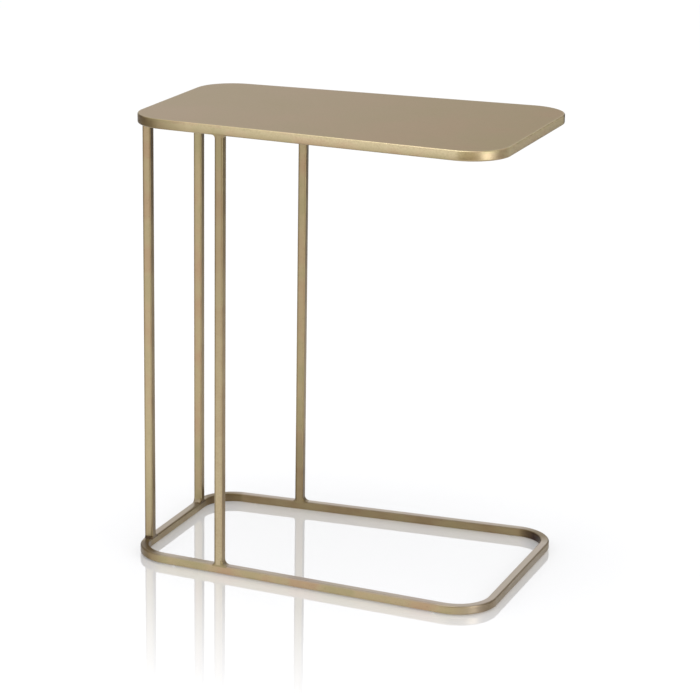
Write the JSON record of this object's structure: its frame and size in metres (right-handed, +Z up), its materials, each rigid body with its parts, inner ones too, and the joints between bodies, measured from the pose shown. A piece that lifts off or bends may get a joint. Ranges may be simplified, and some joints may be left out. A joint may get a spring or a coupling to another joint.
{
  "type": "c-shaped side table",
  "caption": "C-shaped side table: a tapered metal top with rounded corners over a matching open base ring, joined by slim square uprights at the narrow end so the top reaches over a seat",
  "frame": {"origin": "on the floor, under the centre of the table's bounding box", "axes": "+Z up; +X from the spine end with its uprights to the open end; +Y to the back long side; the XZ plane is the plane of symmetry"},
  "size_m": [0.517, 0.3288, 0.61],
  "materials": {
    "antique_brass_tube": "steel tube, brass plated, brushed and aged to a soft bronze gold, clear lacquer",
    "antique_brass_sheet": "steel sheet, brass plated, fine sanded, aged, clear lacquer",
    "dressed_weld": "weld metal ground flush and plated with the tube",
    "glide_nylon": "natural white moulded nylon"
  },
  "bodies": {
    "root": {"base_ring": "antique_brass_tube", "top_ring": "antique_brass_tube", "top_plate": "antique_brass_sheet", "top_edge_seam_weld": "dressed_weld", "base_ring_closing_weld": "dressed_weld", "top_ring_closing_weld": "dressed_weld", "front_upright": "antique_brass_tube", "front_upright_foot_weld": "dressed_weld", "front_upright_head_weld": "dressed_weld", "back_upright": "antique_brass_tube", "back_upright_foot_weld": "dressed_weld", "back_upright_head_weld": "dressed_weld", "end_upright_front": "antique_brass_tube", "end_upright_front_foot_weld": "dressed_weld", "end_upright_front_head_weld": "dressed_weld", "end_upright_back": "antique_brass_tube", "end_upright_back_foot_weld": "dressed_weld", "end_upright_back_head_weld": "dressed_weld", "glide_front_spine": "glide_nylon", "glide_back_spine": "glide_nylon", "glide_front_open": "glide_nylon", "glide_back_open": "glide_nylon"}
  },
  "joints": []
}
